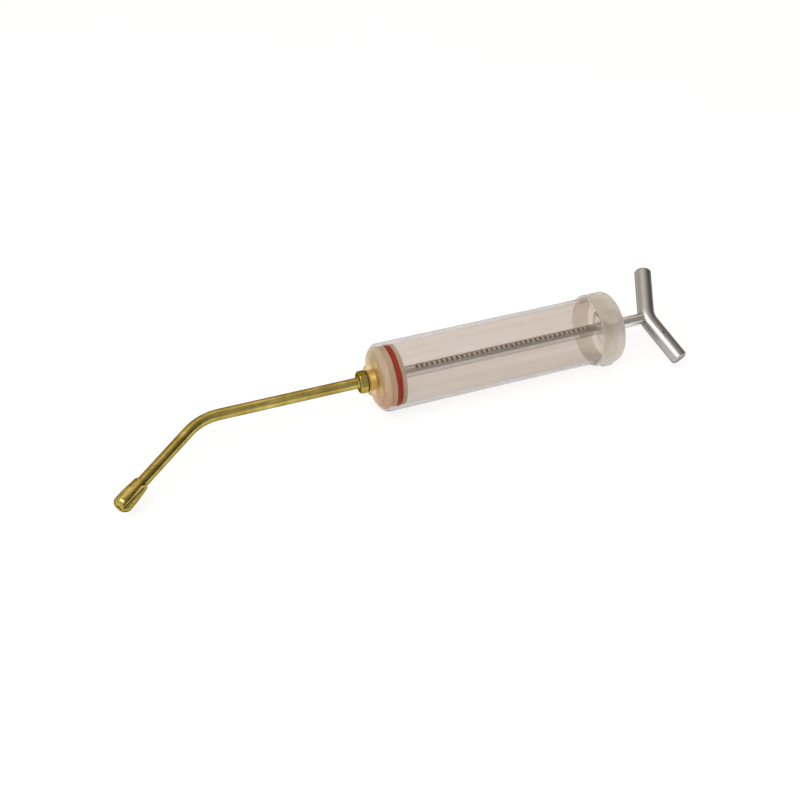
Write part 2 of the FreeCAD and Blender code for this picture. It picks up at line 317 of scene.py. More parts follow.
def ramp(tree, value, low=0.0, high=1.0, start=0.0, end=1.0):
    """Go from start, where a value is low, to end, where it is high."""
    return added(tree, "ShaderNodeMapRange", {
        "Value": value, "From Min": low, "From Max": high,
        "To Min": start, "To Max": end}).outputs["Result"]


def mixed(tree, share, *colours):
    """Mix two colours, each given as numbers or as another node's output."""
    first, second = [(*c, 1.0) if isinstance(c, tuple) else c for c in colours]
    return added(tree, "ShaderNodeMix", {
        FACTOR: share, FIRST_COLOUR: first, SECOND_COLOUR: second},
        data_type="RGBA").outputs[MIXED_COLOUR]


# %% [markdown]
# Real surfaces are never one flat value. Two shader node groups give every material its
# share of variation: soft clouds for uneven polish or milkiness, and fine marks from
# drawing and handling. Both read Object coordinates, so the pattern stays on the piece.

# %% Shader node groups
def clouds_group(middle=0.5):
    """Soft uneven clouds between 0 and 1."""
    tree = bpy.data.node_groups.new("soft clouds", "ShaderNodeTree")
    group_socket(tree, "Scale", "NodeSocketFloat", "INPUT", 60.0)
    group_socket(tree, "Contrast", "NodeSocketFloat", "INPUT", 1.0)
    group_socket(tree, "Cloud", "NodeSocketFloat", "OUTPUT")
    entry = added(tree, "NodeGroupInput").outputs
    place = added(tree, "ShaderNodeTexCoord").outputs["Object"]
    noise = added(tree, "ShaderNodeTexNoise", {
        "Vector": place, "Scale": entry["Scale"], "Detail": 5.0, "Roughness": 0.6})
    centred = maths(tree, "SUBTRACT", noise.outputs[0], middle)
    spread = maths(tree, "MULTIPLY", centred, entry["Contrast"])
    cloud = maths(tree, "ADD", spread, middle, clamp=True)
    added(tree, "NodeGroupOutput", {"Cloud": cloud})
    return tree


def marks_group(full_mark=0.8):
    """Fine lines and scuffs, stretched along an axis whose Stretch is small."""
    tree = bpy.data.node_groups.new("fine marks", "ShaderNodeTree")
    group_socket(tree, "Stretch", "NodeSocketVector", "INPUT", (1.0, 1.0, 1.0))
    group_socket(tree, "Scale", "NodeSocketFloat", "INPUT", 900.0)
    group_socket(tree, "Threshold", "NodeSocketFloat", "INPUT", 0.6)
    group_socket(tree, "Mark", "NodeSocketFloat", "OUTPUT")
    group_socket(tree, "Grain", "NodeSocketFloat", "OUTPUT")
    entry = added(tree, "NodeGroupInput").outputs
    place = added(tree, "ShaderNodeTexCoord").outputs["Object"]
    stretched = added(tree, "ShaderNodeVectorMath", {0: place, 1: entry["Stretch"]},
                      operation="MULTIPLY")
    noise = added(tree, "ShaderNodeTexNoise", {
        "Vector": stretched.outputs[0], "Scale": entry["Scale"], "Detail": 3.0})
    mark = ramp(tree, noise.outputs[0], entry["Threshold"], full_mark)
    added(tree, "NodeGroupOutput", {"Mark": mark, "Grain": noise.outputs[0]})
    return tree


soft_clouds = clouds_group()
fine_marks = marks_group()
print("shader groups:", soft_clouds.name, "and", fine_marks.name)

# %% [markdown]
# Every finish here is the same recipe with other numbers: two colours mixed by clouds,
# marks in a third, a roughness that rises with both, and a bump from the grain. So one
# maker takes the numbers, and each material states only what is its own.

# %% Material maker
cloud_share = 0.7
grain_height = 0.0002


def made_material(name, colours, mark_colour, roughness, cloud=(60.0, 1.6), marks=(900.0, 0.6),
                  stretch=(1.0, 1.0, 1.0), mark_share=0.2, bump=0.02, metallic=0.0,
                  edge_tint=(1.0, 1.0, 1.0), transmission=0.0, ior=1.49):
    """A Principled material whose colour, roughness and bump vary over the surface.

    cloud is a scale and a contrast, marks a scale and the threshold above which they
    show, and roughness the lowest and the highest value.
    """
    material = bpy.data.materials.new(name)
    material.use_nodes = True
    tree = material.node_tree
    clouds = added(tree, "ShaderNodeGroup", {"Scale": cloud[0], "Contrast": cloud[1]},
                   node_tree=soft_clouds).outputs["Cloud"]
    fine = added(tree, "ShaderNodeGroup", {
        "Stretch": stretch, "Scale": marks[0], "Threshold": marks[1]}, node_tree=fine_marks)
    share = maths(tree, "MULTIPLY", fine.outputs["Mark"], mark_share)
    worn = mixed(tree, share, mixed(tree, clouds, *colours), mark_colour)
    both = maths(tree, "MULTIPLY_ADD", clouds, cloud_share, share)
    relief = added(tree, "ShaderNodeBump", {
        "Strength": bump, "Distance": grain_height, "Height": fine.outputs["Grain"]})
    feed(tree, tree.nodes["Principled BSDF"], {
        "Base Color": worn, "Roughness": ramp(tree, both, start=roughness[0], end=roughness[1]),
        "Normal": relief.outputs["Normal"], "Metallic": metallic,
        "Specular Tint": (*edge_tint, 1.0), "Transmission Weight": transmission, "IOR": ior})
    return material


def tinted_where(material, attribute, colour, roughness):
    """Give a finished material another colour where a mesh attribute rises to 1."""
    tree = material.node_tree
    shader = tree.nodes["Principled BSDF"]
    colour_now, rough_now = [shader.inputs[name].links[0].from_socket
                             for name in ("Base Color", "Roughness")]
    share = added(tree, "ShaderNodeAttribute", attribute_name=attribute).outputs["Fac"]
    dull = added(tree, "ShaderNodeMix", {
        FACTOR: share, FIRST_NUMBER: rough_now, SECOND_NUMBER: roughness})
    feed(tree, shader, {"Base Color": mixed(tree, share, colour_now, colour),
                        "Roughness": dull.outputs[MIXED_NUMBER]})


def shaded_at_the_outline(material, attribute, colour, start=0.5, end=0.7):
    """Paint shade on a clear wall where it is seen at a slant, standing in for the light that runs
    along inside it.
    """
    tree = material.node_tree
    shader = tree.nodes["Principled BSDF"]
    colour_now = shader.inputs["Base Color"].links[0].from_socket
    slant = added(tree, "ShaderNodeLayerWeight", {"Blend": 0.5}).outputs["Facing"]
    side = added(tree, "ShaderNodeAttribute", attribute_name=attribute).outputs["Fac"]
    share = maths(tree, "MULTIPLY", ramp(tree, slant, start, end), side)
    feed(tree, shader, {"Base Color": mixed(tree, share, colour_now, colour)})


# %% [markdown]
# The finishes. The barrel is a clear plastic with a warm tint and faint streaks from its
# moulding, the piston is milky, and the cap is clear stuff with a dull skin, so it hides the
# rod. The brass has the uneven yellow of stock that has been handled, and the drawn rod
# shows faint lines along its length.

# %% Clear and milky plastics
milky_clear = made_material(
    "milky_clear", colours=[(0.795, 0.75, 0.72), (0.755, 0.695, 0.64)],
    mark_colour=(0.90, 0.87, 0.85), roughness=(0.16, 0.28), cloud=(22.0, 1.6),
    marks=(160.0, 0.45), stretch=(0.02, 1.0, 1.0), mark_share=0.6, bump=0.02,
    transmission=0.985, ior=1.06)
# Painted reflections in the nose: golden round the brass spigot, reddish low down where the ring
# shines in.
tinted_where(milky_clear, "painted_brass_reflection", colour=(0.93, 0.80, 0.50), roughness=0.55)
tinted_where(milky_clear, "painted_ring_reflection", colour=(0.86, 0.66, 0.56), roughness=0.3)
# Painted shade on the outer wall where it is seen at a slant.
shaded_at_the_outline(milky_clear, "outer_wall", colour=(0.57, 0.575, 0.59))
milky_piston = made_material(
    "milky_piston", colours=[(0.93, 0.82, 0.66), (0.88, 0.75, 0.58)],
    mark_colour=(0.95, 0.87, 0.76), roughness=(0.30, 0.45), cloud=(60.0, 1.8),
    marks=(700.0, 0.62), mark_share=0.25, bump=0.01, transmission=0.60, ior=1.2)
milky_cap = made_material(
    "milky_cap", colours=[(0.94, 0.90, 0.84), (0.90, 0.86, 0.80)],
    mark_colour=(0.94, 0.91, 0.86), roughness=(0.45, 0.60), cloud=(45.0, 1.6),
    marks=(500.0, 0.6), mark_share=0.25, bump=0.02, transmission=0.94, ior=1.35)
natural_nylon = made_material(
    "natural_nylon", colours=[(0.80, 0.79, 0.74), (0.72, 0.71, 0.66)],
    mark_colour=(0.60, 0.58, 0.52), roughness=(0.3, 0.45), bump=0.03,
    transmission=0.35, ior=1.53)
print("plastics:", milky_clear.name, milky_piston.name, milky_cap.name, natural_nylon.name)

# %% Metals
polished_brass = made_material(
    "polished_brass", colours=[(0.60, 0.48, 0.15), (0.34, 0.26, 0.06)],
    mark_colour=(0.10, 0.065, 0.01), roughness=(0.05, 0.13), cloud=(90.0, 2.6),
    marks=(900.0, 0.50), stretch=(0.06, 1.0, 1.0), mark_share=0.7, bump=0.06,
    metallic=1.0, edge_tint=(0.22, 0.16, 0.05))
# The spigot's thread is paler and duller: partly raw turned brass, partly painted light where it
# shows through the nose.
tinted_where(polished_brass, "spigot", colour=(0.76, 0.68, 0.46), roughness=0.5)
drawn_steel = made_material(
    "drawn_steel", colours=[(0.80, 0.80, 0.79), (0.68, 0.68, 0.67)],
    mark_colour=(0.42, 0.41, 0.40), roughness=(0.14, 0.26), cloud=(70.0, 1.6),
    marks=(2200.0, 0.55), stretch=(0.04, 1.0, 1.0), mark_share=0.3, bump=0.05,
    metallic=1.0, edge_tint=(0.5, 0.5, 0.5))
rack_steel = drawn_steel.copy()
rack_steel.name = "rack_steel"
# Painted shade: the rack's copy of the steel is darker in the notches.
tinted_where(rack_steel, "notch_painted_shade", colour=(0.36, 0.35, 0.34), roughness=0.6)
spring_wire = made_material(
    "spring_wire", colours=[(0.40, 0.40, 0.39), (0.30, 0.30, 0.29)],
    mark_colour=(0.18, 0.17, 0.16), roughness=(0.22, 0.35), bump=0.03, metallic=1.0)
satin_aluminium = made_material(
    "satin_aluminium", colours=[(0.48, 0.47, 0.46), (0.40, 0.39, 0.38)],
    mark_colour=(0.28, 0.27, 0.26), roughness=(0.30, 0.42), cloud=(50.0, 1.6),
    marks=(1800.0, 0.57), mark_share=0.3, bump=0.06, metallic=1.0,
    edge_tint=(0.2, 0.19, 0.17))
# Painted shade: the aluminium is nearly black in and round the dimple.
tinted_where(satin_aluminium, "dimple_depth", colour=(0.03, 0.03, 0.03), roughness=0.7)
print("metals:", polished_brass.name, rack_steel.name, spring_wire.name, satin_aluminium.name)

# %% Rubbers
red_silicone = made_material(
    "red_silicone", colours=[(0.42, 0.022, 0.002), (0.33, 0.015, 0.001)],
    mark_colour=(0.44, 0.04, 0.004), roughness=(0.4, 0.55), cloud=(120.0, 1.6),
    bump=0.03, ior=1.1)
black_rubber = made_material(
    "black_rubber", colours=[(0.030, 0.028, 0.025), (0.018, 0.017, 0.016)],
    mark_colour=(0.06, 0.06, 0.055), roughness=(0.5, 0.7), bump=0.05)
print("materials:", len(bpy.data.materials))

# %% [markdown]
# The barrel is one moulding: a tube with a domed nose and a short boss. Its outline runs
# over the outside and back through the bore, so both walls are real, and what lies inside
# is seen through two walls, as in the real tube. The screw thread at the rear is a helix,
# made by lowering the radius in a wave that shifts with the angle. The nose also gets
# painted reflections: a golden tint round the brass spigot, and a reddish tint low down,
# where the ring shines in. Mesh attributes say how much, and the material mixes the colours
# in. A third one marks the outer wall, which gets painted shade where it is seen at a slant.

# %% The barrel's outline
boss_r = 11.3
barrel_skin = 0.2
barrel_thread_pitch = 3.0
barrel_thread_depth = 0.7
barrel_thread_turns = 3
barrel_thread_end = 0.8
barrel_thread_start_x = barrel_end_x - barrel_thread_turns * barrel_thread_pitch
plain_start_x = shoulder_x + 6


def dome(steps=30):
    """The nose's outer curve, a quarter of an ellipse from its flat front to the tube."""
    high = barrel_r - nose_flat_r
    angles = [math.pi / 2 * (1 - n / steps) for n in range(steps + 1)]
    return [(shoulder_x - nose_rise * math.sin(a), nose_flat_r + high * math.cos(a))
            for a in angles]


def barrel_radius(x, r, angle):
    """Sink a helical thread into the outside of the barrel's rear end."""
    into = x - barrel_thread_start_x
    if r < barrel_r - barrel_skin or into <= 0:
        return r
    wave = thread_wave(into, barrel_thread_pitch, angle)
    run_out = min(1, into / barrel_thread_pitch, (barrel_end_x - x) / barrel_thread_end)
    return r - barrel_thread_depth * wave * max(0, run_out)


front = rounded([(nose_inner_x, hole_r, 0), (boss_front_x, hole_r, 0.3),
                 (boss_front_x, boss_r, 1.4), (nose_front_x, boss_r, 0.5),
                 (nose_front_x, nose_flat_r, 0)])[1:-1]
back = rounded([(0, barrel_r, 0), (barrel_end_x, barrel_r, 0.5), (barrel_end_x, bore_r, 0.4),
                (nose_inner_x, bore_r, nose_corner_r), (nose_inner_x, hole_r, 0.3),
                (boss_front_x, hole_r, 0)])[1:-1]
outside = [(plain_start_x, barrel_r), (barrel_thread_start_x, barrel_r)]
corner_start = next(n for n, (x, r) in enumerate(back) if x < plain_start_x)
back.insert(corner_start, (plain_start_x, bore_r))
barrel_outline = front + dome() + outside + back
barrel_outline = divided(barrel_outline, 0.3, barrel_thread_start_x, barrel_end_x)
barrel_outline = divided(barrel_outline, 1.0, boss_front_x, nose_inner_x)
print("points in the barrel's outline:", len(barrel_outline))

# %% The barrel and its painted reflections
outer_skin = 1.2
painted_reflection_end_x = shoulder_x + 4
painted_reflection_fade = 6
brass_reflection_r = 23
brass_reflection_fade = 12
ring_reflection_r = 12
ring_reflection_fade = 8
low_y = -0.6
low_z = -0.8
barrel = turned("barrel_moulding", barrel_outline, milky_clear, segments=192,
                radius_at=barrel_radius, sharp=60)
painted_brass_reflection = barrel.data.attributes.new("painted_brass_reflection", "FLOAT", "POINT")
painted_ring_reflection = barrel.data.attributes.new("painted_ring_reflection", "FLOAT", "POINT")
outer_wall = barrel.data.attributes.new("outer_wall", "FLOAT", "POINT")
# How much painted reflection of the brass and of the ring the nose gets, and where the outer wall
# is.
for vertex in barrel.data.vertices:
    x, y, z = vertex.co / MM
    r = math.hypot(y, z)
    near = limited((painted_reflection_end_x - x) / painted_reflection_fade)
    low = max(0, low_y * y + low_z * z) / r
    from_brass = limited((brass_reflection_r - r) / brass_reflection_fade)
    from_ring = limited((r - ring_reflection_r) / ring_reflection_fade)
    painted_brass_reflection.data[vertex.index].value = near * from_brass
    painted_ring_reflection.data[vertex.index].value = near * low * from_ring
    outer_wall.data[vertex.index].value = 1.0 if r > barrel_r - outer_skin else 0.0
dressed(barrel, "barrel", "barrel")

# %% [markdown]
# The screw cap is moulded too, with seven shallow lobes for the fingers. Where a lobe
# stands out, the larger of two radii wins, and the two are blended so that the moulding
# has no knife edge. A groove in the end wall holds the catch spring.

# %% The screw cap
cap_low, cap_high = box_in_mm("rear_cap")
cap_front_x = cap_low.x
cap_rear_x = cap_high.x
cap_end_wall = 8.0
cap_wall_x = cap_rear_x - cap_end_wall
cap_r = 28.2
cap_skin = 1.5
cap_play = 0.06
cap_bore_r = barrel_r + cap_play
lobe_count = 7
lobe_step = 2 * math.pi / lobe_count
lobe_turn = math.radians(230.5)
lobe_r = 7.0
lobe_foot_r = 4.4
lobe_axis_r = 23.0
lobe_taper = 3.0
lobe_start_x = cap_front_x + 2.2
lobe_end_x = cap_rear_x - 4.2
lobe_blend = 0.25
lobe_sink = 0.01
bush_r = 7.5
bush_hole_r = bush_r + fit_play
groove_inner_r = 14.0
groove_outer_r = 16.0
groove_end_x = cap_wall_x + 1.8


def cap_radius(x, r, angle):
    """Raise the lobes on the cap's outside."""
    rise = min((x - lobe_start_x) / lobe_taper, (lobe_end_x - x) / lobe_taper, 1)
    if r < cap_r - cap_skin or rise <= 0:
        return r
    off = off_nearest(angle, lobe_turn, lobe_step)
    here_r = lobe_foot_r + (lobe_r - lobe_foot_r) * rise
    aside = lobe_axis_r * math.sin(off)
    if abs(aside) >= here_r:
        return r
    lobe = lobe_axis_r * math.cos(off) + math.sqrt(here_r ** 2 - aside ** 2)
    return larger(r, lobe, lobe_blend) - lobe_sink


cap_outline = rounded([
    (cap_front_x, cap_bore_r, 0.3), (cap_front_x, cap_r, 0.8), (cap_rear_x, cap_r, 5.5),
    (cap_rear_x, bush_hole_r, 0.3), (cap_wall_x, bush_hole_r, 0.2),
    (cap_wall_x, groove_inner_r, 0.2), (groove_end_x, groove_inner_r, 0.2),
    (groove_end_x, groove_outer_r, 0.2), (cap_wall_x, groove_outer_r, 0.2),
    (cap_wall_x, cap_bore_r, 0.6)])
cap = turned("cap_moulding", divided(cap_outline, 0.8), milky_cap, segments=280,
             radius_at=cap_radius, sharp=60)
dressed(cap, "cap", "rear_cap")

# %% [markdown]
# A pale bush guides the rod through the cap. Behind the nose a brass union holds the
# bent tube: a hexagon in front, a black washer, and a threaded spigot that shows through
# the clear plastic. The hexagon is again one turned skin: the distance to a flat is the
# flat's own distance divided by the cosine of the angle to its middle.

# %% The bush and the nose washer
bush_low, bush_high = box_in_mm("rod_bush")
rod_low, rod_high = box_in_mm("plunger_rod")
rod_r = rod_high.y
rod_hole_r = rod_r + fit_play
bush_outline = rounded([
    (bush_low.x, rod_hole_r, 0.3), (bush_low.x, bush_r, 0.4),
    (bush_high.x, bush_r, 0.3), (bush_high.x, rod_hole_r, 0.4)], step=0.15)
bush = turned("bush", bush_outline, natural_nylon, segments=72)
dressed(bush, "bush", "rod_bush")
washer_low, washer_high = box_in_mm("nose_washer")
washer_outline = rounded([
    (washer_low.x, hole_r, 0.1), (washer_low.x, washer_high.z, 0.25),
    (washer_high.x, washer_high.z, 0.25), (washer_high.x, hole_r, 0.1)], step=0.1)
washer = turned("nose_seal", washer_outline, black_rubber, segments=72)
dressed(washer, "barrel", "nose_washer")

# %% The brass union
union_front_x = union_low.x
union_seat_x = washer_low.x
union_end_x = union_high.x
tube_socket = 8.0
tube_start_x = union_front_x + tube_socket
hex_flat_r = 7.5
hex_core_r = 6
hex_step = math.pi / 3
hex_turn = math.radians(50.5)
chamfer_slope = 0.9
front_chamfer = 0.15
seat_chamfer = 0.55
solder_r = 0.9
union_skin = 0.1
union_thread_pitch = 1.5
union_thread_depth = 0.45
thread_relief_r = thread_r - 0.3
thread_relief_x = union_seat_x + 0.6
thread_lead = 1.0
spigot_start_x = union_seat_x + 0.1


def union_radius(x, r, angle):
    """Push the front out to a hexagon and cut a thread behind it."""
    if x <= union_seat_x + 1e-6:
        off = (angle - hex_turn) % hex_step - hex_step / 2
        corner_r = hex_flat_r / math.cos(off)
        chamfered = min(corner_r, hex_flat_r + front_chamfer + chamfer_slope * (x - union_front_x),
                        hex_flat_r + seat_chamfer + chamfer_slope * (union_seat_x - x))
        share = limited((r - hex_core_r) / (hex_flat_r - hex_core_r))
        return r * (1 + (chamfered / hex_flat_r - 1) * share)
    into = x - union_seat_x - thread_lead
    if r < thread_r - union_skin or into <= 0:
        return r
    wave = thread_wave(into, union_thread_pitch, angle)
    return r - union_thread_depth * wave * min(1, into / union_thread_pitch)


union_outline = rounded([
    (union_front_x - solder_r, tube_r, 0), (union_front_x, tube_r + solder_r, 0.2),
    (union_front_x, hex_flat_r, 0.25), (union_seat_x, hex_flat_r, 0.2),
    (union_seat_x, thread_relief_r, 0), (thread_relief_x, thread_relief_r, 0.1),
    (union_seat_x + thread_lead, thread_r, 0.1), (union_end_x, thread_r, 0.5),
    (union_end_x, tube_bore_r, 0.2), (tube_start_x, tube_bore_r, 0),
    (tube_start_x, tube_r, 0)], step=0.12)
union = turned("union", divided(union_outline, 0.3), polished_brass, segments=144,
               radius_at=union_radius, sharp=28)
# Marks the spigot, whose brass is painted paler: partly its raw finish, partly painted light.
spigot = union.data.attributes.new("spigot", "FLOAT", "POINT")
for vertex in union.data.vertices:
    spigot.data[vertex.index].value = 1.0 if vertex.co.x > spigot_start_x * MM else 0.0
dressed(union, "cannula", "cannula_union")

# %% [markdown]
# The brass tube bends 38.5 degrees at 40 mm, and the bend's plane is rolled 73 degrees
# round the barrel's axis. Both the tube and its tip are modelled straight along X and
# carried to their place by the same two steps, so they meet without any fitting.

# %% The bent tube
bend_turn = math.radians(38.5)
bend_r = 40.0
stem_to_corner = 119.7
bend_x = union_front_x - stem_to_corner
bend_roll = Matrix.Rotation(math.radians(-73), 3, "X")
reach_past_bend = 92.0
olive_length = 25.0
olive_root = reach_past_bend - olive_length
tube_in_olive = 10.0


def on_the_cannula(spot):
    """Bend a straight piece's point and roll it to the bend's plane."""
    return bend_roll @ bent(spot, bend_x, bend_turn, bend_r)


def past_the_bend(distance):
    """The straight tube's x for a point at a distance past the bend's corner."""
    return unrolled(distance, bend_x, bend_turn, bend_r)


tube_tip_x = past_the_bend(olive_root + tube_in_olive)
tube_outline = rounded([
    (tube_start_x, tube_bore_r, 0.2), (tube_start_x, tube_r, 0.2),
    (tube_tip_x, tube_r, 0.2), (tube_tip_x, tube_bore_r, 0.2)], step=0.2)
tube = turned("brass_tube", divided(tube_outline, 2.0), polished_brass, segments=64,
              place=on_the_cannula)
dressed(tube, "cannula", "cannula_tube")

# %% [markdown]
# The olive tip is the piece that goes into the throat, so every edge of it is soft. Three
# long flutes are ground into it: each is a round groove whose axis sinks towards the tip,
# so the surface is the smaller of the olive's radius and the near side of the groove.

# %% The olive's flutes
olive_start_r = 5.4
olive_r = 6.95
nose_length = 5.4
swell_length = olive_length - nose_length
outlet_r = 1.45
olive_core_r = outlet_r + 1
flute_r = 2.5
flute_start = 4.0
flute_start_axis_r = olive_r + 0.75
flute_end_axis_r = olive_r - 0.45
flute_count = 3
flute_step = 2 * math.pi / flute_count
flute_turn = math.radians(114)
flute_reach = 1
flute_blend = 0.12
olive_x = past_the_bend(olive_root)


def olive_radius(x, r, angle):
    """Grind the three flutes into the olive."""
    along = olive_x - x
    start_gap = max(0, flute_start - along)
    if r < olive_core_r or start_gap >= flute_r:
        return r
    share = max(0, along - flute_start) / (olive_length - flute_start)
    axis_r = flute_start_axis_r + (flute_end_axis_r - flute_start_axis_r) * share
    half_width = math.sqrt(flute_r ** 2 - start_gap ** 2)
    off = off_nearest(angle, flute_turn, flute_step)
    aside = axis_r * math.sin(off)
    if abs(off) > flute_reach or abs(aside) >= half_width:
        return r
    floor_r = axis_r * math.cos(off) - math.sqrt(half_width ** 2 - aside ** 2)
    return smaller(r, floor_r, flute_blend)


print("flutes:", flute_count, "from x %.1f mm on the straight bar" % (olive_x - flute_start))

# %% The olive tip
lip_r = 0.5
lip_steps = 5
swell_steps = 60
swell_power = 1.8
nose_steps = 30
end_flat_r = 2 * outlet_r
end_edge = 0.5
end_crown = 0.02
outlet_edge = 0.25


def olive_outline():
    """Socket end, gentle swell, elliptical nose, small flat end and the bore back."""
    points = [(olive_x, tube_r), (olive_x, olive_start_r - lip_r)]
    for n in range(lip_steps + 1):
        turn = math.pi / 2 * n / lip_steps
        points.append((olive_x - lip_r + lip_r * math.cos(turn),
                       olive_start_r - lip_r + lip_r * math.sin(turn)))
    for n in range(1, swell_steps + 1):
        share = n / swell_steps
        r = olive_start_r + (olive_r - olive_start_r) * (1 - (1 - share) ** swell_power)
        points.append((olive_x - lip_r - (swell_length - lip_r) * share, r))
    widest = math.acos(end_flat_r / olive_r)
    for n in range(1, nose_steps + 1):
        turn = widest * n / nose_steps
        points.append((olive_x - swell_length - nose_length * math.sin(turn),
                       olive_r * math.cos(turn)))
    end_x = points[-1][0]
    socket_x = olive_x - tube_in_olive
    points += [(end_x - end_crown, end_flat_r - end_edge), (end_x, outlet_r + outlet_edge)]
    points += [(end_x + outlet_edge, outlet_r), (socket_x, outlet_r), (socket_x, tube_r)]
    return points


olive = turned("olive", divided(olive_outline(), 0.6), polished_brass, segments=216,
               radius_at=olive_radius, place=on_the_cannula, sharp=50)
dressed(olive, "cannula", "olive_tip")

# %% [markdown]
# The piston is two pale, milky discs with a red ring between them. The front disc follows
# the nose's inside corner, so that no dose is left behind. Its rear face and the rear disc
# would touch exactly, and two clear faces in one place confuse a ray, so the film of air
# that is really there is left between them.

# %% The piston and its ring
front_low, front_high = box_in_mm("piston_front")
rear_low, rear_high = box_in_mm("piston_rear")
ring_low, ring_high = box_in_mm("piston_ring")
piston_r = front_high.z
ring_front_x = ring_low.x - fit_play
ring_seat_r = 18.85
pocket_r = 5.9
pocket_end_x = front_low.x + 3.8
air_film = 0.04
disc_face_x = front_high.x - air_film
piston_outline = rounded([
    (front_low.x, pocket_r, 0.3), (front_low.x, piston_r, nose_corner_r),
    (ring_front_x, piston_r, 0.3), (ring_front_x, ring_seat_r, 0.3),
    (disc_face_x, ring_seat_r, 0.1), (disc_face_x, spigot_hole_r, 0.1),
    (pocket_end_x, spigot_hole_r, 0.1), (pocket_end_x, pocket_r, 0.3)])
piston = turned("piston_disc_front", piston_outline, milky_piston, segments=160, sharp=60)
dressed(piston, "piston", "piston_front")
rear_outline = rounded([
    (rear_low.x, spigot_hole_r, 0.1), (rear_low.x, piston_r, 0.3),
    (rear_high.x, piston_r, 0.5), (rear_high.x, spigot_hole_r, 0.1)], step=0.15)
rear_disc = turned("piston_disc_rear", rear_outline, milky_piston, segments=160, sharp=60)
dressed(rear_disc, "piston", "piston_rear")
section_r = (ring_high.x - ring_low.x) / 2
section_points = 36
ring_mid_x = (ring_low.x + ring_high.x) / 2
ring_turns = [2 * math.pi * n / section_points for n in range(section_points)]
ring_outline = [(ring_mid_x + section_r * math.cos(a),
                 ring_high.z - section_r + section_r * math.sin(a)) for a in ring_turns]
ring = turned("ring_seal", ring_outline, red_silicone, segments=160)
dressed(ring, "piston", "piston_ring")

# %% [markdown]
# Geometry Nodes fit what repeats. The rack is one notch copied along the rod at the real
# pitch: the tree takes a count, a pitch and a start as named inputs, puts the piece on a
# line of points, realizes the copies, welds them and gives them their material. The
# plain ends of the rod are turned as before and welded on.

# %% Geometry Nodes tree for a row of copies
weld_distance = 2e-6


def row_tree():
    """A tree that repeats the object's own mesh along X and welds the copies."""
    tree = bpy.data.node_groups.new("row along x", "GeometryNodeTree")
    group_socket(tree, "Geometry", "NodeSocketGeometry", "INPUT")
    group_socket(tree, "Count", "NodeSocketInt", "INPUT", 1)
    group_socket(tree, "Pitch", "NodeSocketFloat", "INPUT", 1.0)
    group_socket(tree, "Start", "NodeSocketFloat", "INPUT", 0.0)
    group_socket(tree, "Material", "NodeSocketMaterial", "INPUT")
    group_socket(tree, "Geometry", "NodeSocketGeometry", "OUTPUT")
    entry = added(tree, "NodeGroupInput").outputs
    first = added(tree, "ShaderNodeCombineXYZ", {"X": entry["Start"]}).outputs[0]
    step = added(tree, "ShaderNodeCombineXYZ", {"X": entry["Pitch"]}).outputs[0]
    line = added(tree, "GeometryNodeMeshLine", {
        "Count": entry["Count"], "Start Location": first, "Offset": step})
    copies = added(tree, "GeometryNodeInstanceOnPoints", {
        "Points": line.outputs[0], "Instance": entry["Geometry"]})
    real = added(tree, "GeometryNodeRealizeInstances", {0: copies.outputs[0]})
    weld = added(tree, "GeometryNodeMergeByDistance", {
        "Geometry": real.outputs[0], "Distance": weld_distance})
    finish = added(tree, "GeometryNodeSetMaterial", {
        "Geometry": weld.outputs[0], "Material": entry["Material"]})
    added(tree, "NodeGroupOutput", {0: finish.outputs[0]})
    return tree


def repeated_mesh(piece, tree, values):
    """Run the tree on a piece and return the plain mesh; the piece itself is removed."""
    modifier = piece.modifiers.new("row", "NODES")
    modifier.node_group = tree
    for item in tree.interface.items_tree:
        if item.in_out == "INPUT" and item.name in values:
            modifier[item.identifier] = values[item.name]
    graph = bpy.context.evaluated_depsgraph_get()
    mesh = bpy.data.meshes.new_from_object(piece.evaluated_get(graph))
    piece.modifiers.remove(modifier)
    bpy.data.objects.remove(piece)
    return mesh


row_along_x = row_tree()
print("nodes in the row's tree:", len(row_along_x.nodes))

# %% One notch of the rack
rack_pitch = 4.1
rack_count = 36
rack_depth = 1.6
gap_top = 2.7
gap_bottom = 1.2
notch_blend = 0.08
notch_margin = 0.25
flank_ring_count = 7
flank_ring_step = 0.17
flank_ring_lead = 0.12
rod_segments = 88


def rack_radius(x, r, angle):
    """Cut one notch into the top of the rod, x millimetres from the notch's middle."""
    flank = (gap_top - gap_bottom) / 2
    into = (gap_top / 2 - abs(x)) / flank
    share = 0.5 * (1 + math.hypot(into, notch_blend) - math.hypot(into - 1, notch_blend))
    height = rod_r - rack_depth * share
    from_top = math.sin(angle)
    if abs(x) > gap_top / 2 + notch_margin or from_top * r <= height:
        return r
    return height / from_top


flank_rings = [gap_top / 2 + flank_ring_lead - n * flank_ring_step
               for n in range(flank_ring_count)]
notch_rings = [rack_pitch / 2] + flank_rings + [0] + [-x for x in reversed(flank_rings)]
notch_rings += [-rack_pitch / 2]
bm = bmesh.new()
turned_mesh(bm, [(x, rod_r) for x in notch_rings], rod_segments, rack_radius, closed=False)
notch = finished("notch", bm, drawn_steel)

